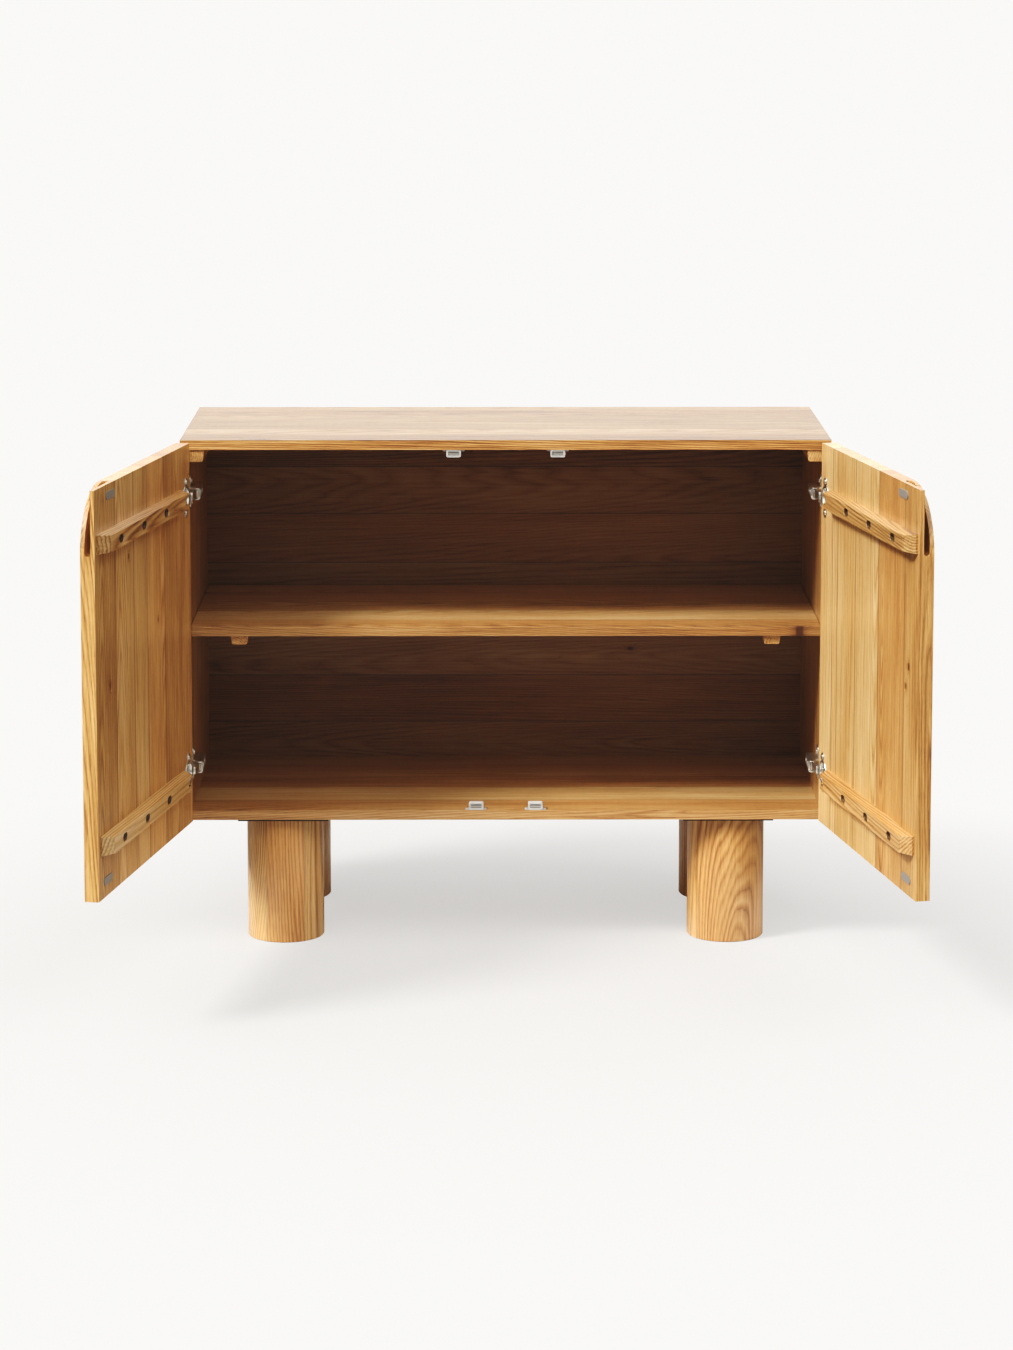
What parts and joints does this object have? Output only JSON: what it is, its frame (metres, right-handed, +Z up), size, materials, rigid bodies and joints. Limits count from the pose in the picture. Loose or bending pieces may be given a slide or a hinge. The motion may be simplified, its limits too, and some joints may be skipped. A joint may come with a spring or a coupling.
{
  "type": "shoe cabinet",
  "caption": "Solid oak shoe cabinet on round legs, with a shelf and two hinged doors standing open, each with a rounded finger grip at its top corner.",
  "frame": {"origin": "on the floor, midway across the cabinet and midway between the free edges of the open doors and the rear of the carcass", "axes": "+Z up, +X to the cabinet's right as seen from its open front, doors towards -Y"},
  "size_m": [1.2, 0.9028, 0.795],
  "materials": {
    "oak_carcass": "oiled solid oak in glued boards",
    "oak_back": "oiled solid oak, grain across",
    "oak_door": "oiled solid oak in glued boards, grain upright",
    "oak_batten": "oiled solid oak, grain along the batten",
    "oak_leg": "oiled solid oak, turned, grain upright",
    "hinge_steel": "nickel-plated pressed steel",
    "black_plate": "black powder-coated steel",
    "catch_plastic": "moulded pale grey plastic"
  },
  "bodies": {
    "carcass": {"top_panel": "oak_carcass", "bottom_panel": "oak_carcass", "side_panel_left": "oak_carcass", "side_panel_right": "oak_carcass", "back_panel": "oak_back", "shelf": "oak_carcass", "top_batten_left": "oak_batten", "top_batten_right": "oak_batten", "shelf_batten_left": "oak_batten", "shelf_batten_right": "oak_batten", "shelf_pins": "hinge_steel", "leg_plate_front_left": "black_plate", "leg_plate_front_right": "black_plate", "leg_plate_rear_left": "black_plate", "leg_plate_rear_right": "black_plate", "leg_front_left": "oak_leg", "leg_front_right": "oak_leg", "leg_rear_left": "oak_leg", "leg_rear_right": "oak_leg", "leg_bolts": "hinge_steel", "leg_plate_screws": "hinge_steel", "hinge_arm_left_upper": "hinge_steel", "hinge_arm_left_lower": "hinge_steel", "hinge_arm_right_upper": "hinge_steel", "hinge_arm_right_lower": "hinge_steel", "hinge_plate_left_upper": "hinge_steel", "hinge_plate_left_lower": "hinge_steel", "hinge_plate_right_upper": "hinge_steel", "hinge_plate_right_lower": "hinge_steel", "hinge_plate_screws": "hinge_steel", "catch_upper_left": "catch_plastic", "catch_upper_right": "catch_plastic", "catch_lower_left": "catch_plastic", "catch_lower_right": "catch_plastic", "catch_screws": "hinge_steel"},
    "left_door": {"left_door_panel": "oak_door", "left_door_grip_board": "oak_door", "left_door_batten_upper": "oak_batten", "left_door_batten_lower": "oak_batten", "left_door_batten_screws": "hinge_steel", "left_door_strikes": "hinge_steel", "left_door_strike_screws": "hinge_steel", "hinge_cup_left_upper": "hinge_steel", "hinge_cup_left_lower": "hinge_steel", "left_cup_screws": "hinge_steel"},
    "right_door": {"right_door_panel": "oak_door", "right_door_grip_board": "oak_door", "right_door_batten_upper": "oak_batten", "right_door_batten_lower": "oak_batten", "right_door_batten_screws": "hinge_steel", "right_door_strikes": "hinge_steel", "right_door_strike_screws": "hinge_steel", "hinge_cup_right_upper": "hinge_steel", "hinge_cup_right_lower": "hinge_steel", "right_cup_screws": "hinge_steel"},
    "left_links": {"hinge_link_left_upper": "hinge_steel", "hinge_link_left_lower": "hinge_steel"},
    "right_links": {"hinge_link_right_upper": "hinge_steel", "hinge_link_right_lower": "hinge_steel"}
  },
  "joints": [
    {"name": "left_door_hinge", "type": "hinge", "parent": "carcass", "child": "left_door", "pos_m": [-0.4966, 0.03739, 0], "axis": [0, 0, 1], "range_deg": [0, 101]},
    {"name": "right_door_hinge", "type": "hinge", "parent": "carcass", "child": "right_door", "pos_m": [0.4966, 0.03739, 0], "axis": [0, 0, -1], "range_deg": [0, 101]},
    {"name": "left_link_pivot", "type": "hinge", "parent": "carcass", "child": "left_links", "pos_m": [-0.476, 0.05639, 0], "axis": [0, 0, 1], "range_deg": [0, 112]},
    {"name": "right_link_pivot", "type": "hinge", "parent": "carcass", "child": "right_links", "pos_m": [0.476, 0.05639, 0], "axis": [0, 0, -1], "range_deg": [0, 112]}
  ],
  "couplings": [
    {"joint": "left_link_pivot", "follows": "left_door_hinge", "ratio": 1.1},
    {"joint": "right_link_pivot", "follows": "right_door_hinge", "ratio": 1.1}
  ]
}
